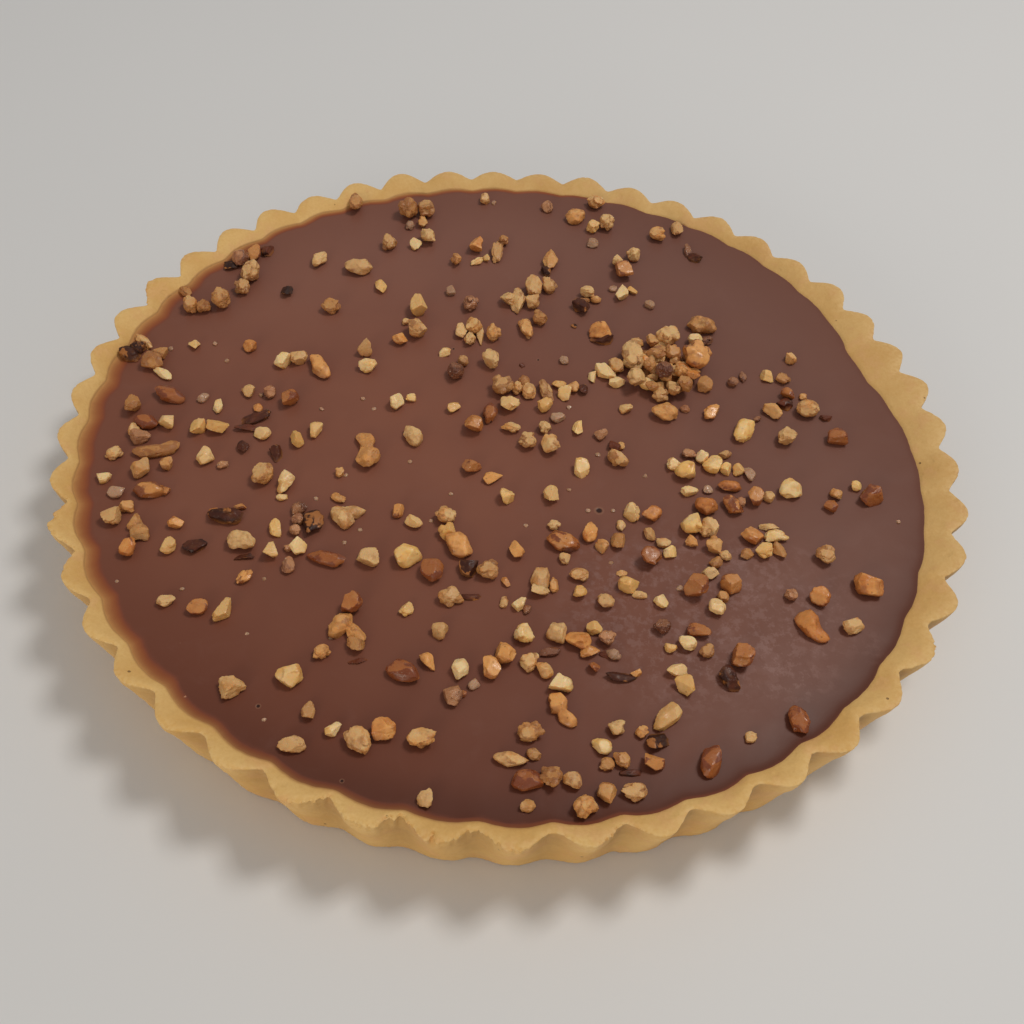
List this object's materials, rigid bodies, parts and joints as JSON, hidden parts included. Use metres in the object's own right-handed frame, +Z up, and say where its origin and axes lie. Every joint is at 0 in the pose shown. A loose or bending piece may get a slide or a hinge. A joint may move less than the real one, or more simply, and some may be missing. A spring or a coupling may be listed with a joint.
{
  "type": "chocolate tart",
  "caption": "Round shortcrust tart with a fluted rim, filled with a flat layer of chocolate and strewn with chopped and caramelised hazelnuts.",
  "frame": {"origin": "centre of the tart's underside, on the surface it rests on", "axes": "+Z up through the middle of the tart, from the underside to the nuts. -Y is the front, the side nearest the viewer, and +X is the viewer's right."},
  "size_m": [0.2793, 0.2797, 0.0292],
  "materials": {
    "pastry": "baked shortcrust, matt",
    "chocolate": "set milk chocolate, satin",
    "pale_nut": "blanched hazelnut, satin",
    "golden_nut": "toasted hazelnut, rough",
    "roasted_nut": "dark roasted hazelnut, satin",
    "dark_nut": "burnt caramel and nut skin, glossy"
  },
  "bodies": {
    "root": {"pastry_shell": "pastry", "chocolate_filling": "chocolate", "nut_heap": "golden_nut", "pale_nut_1": "pale_nut", "pale_nut_2": "pale_nut", "pale_nut_3": "pale_nut", "pale_nut_4": "pale_nut", "pale_nut_5": "pale_nut", "pale_nut_6": "pale_nut", "pale_nut_7": "pale_nut", "pale_nut_8": "pale_nut", "golden_nut_1": "golden_nut", "golden_nut_2": "golden_nut", "golden_nut_3": "golden_nut", "golden_nut_4": "golden_nut", "golden_nut_5": "golden_nut", "golden_nut_6": "golden_nut", "golden_nut_7": "golden_nut", "golden_nut_8": "golden_nut", "golden_nut_9": "golden_nut", "golden_nut_10": "golden_nut", "golden_nut_11": "golden_nut", "golden_nut_12": "golden_nut", "golden_nut_13": "golden_nut", "golden_nut_14": "golden_nut", "golden_nut_15": "golden_nut", "golden_nut_16": "golden_nut", "golden_nut_17": "golden_nut", "roasted_nut_1": "roasted_nut", "roasted_nut_2": "roasted_nut", "roasted_nut_3": "roasted_nut", "roasted_nut_4": "roasted_nut", "roasted_nut_5": "roasted_nut", "roasted_nut_6": "roasted_nut", "roasted_nut_7": "roasted_nut", "roasted_nut_8": "roasted_nut", "roasted_nut_9": "roasted_nut", "roasted_nut_10": "roasted_nut", "roasted_nut_11": "roasted_nut", "roasted_nut_12": "roasted_nut", "roasted_nut_13": "roasted_nut", "roasted_nut_14": "roasted_nut", "roasted_nut_15": "roasted_nut", "roasted_nut_16": "roasted_nut", "roasted_nut_17": "roasted_nut", "roasted_nut_18": "roasted_nut", "roasted_nut_19": "roasted_nut", "dark_nut_1": "dark_nut", "dark_nut_2": "dark_nut", "dark_nut_3": "dark_nut"}
  },
  "joints": []
}
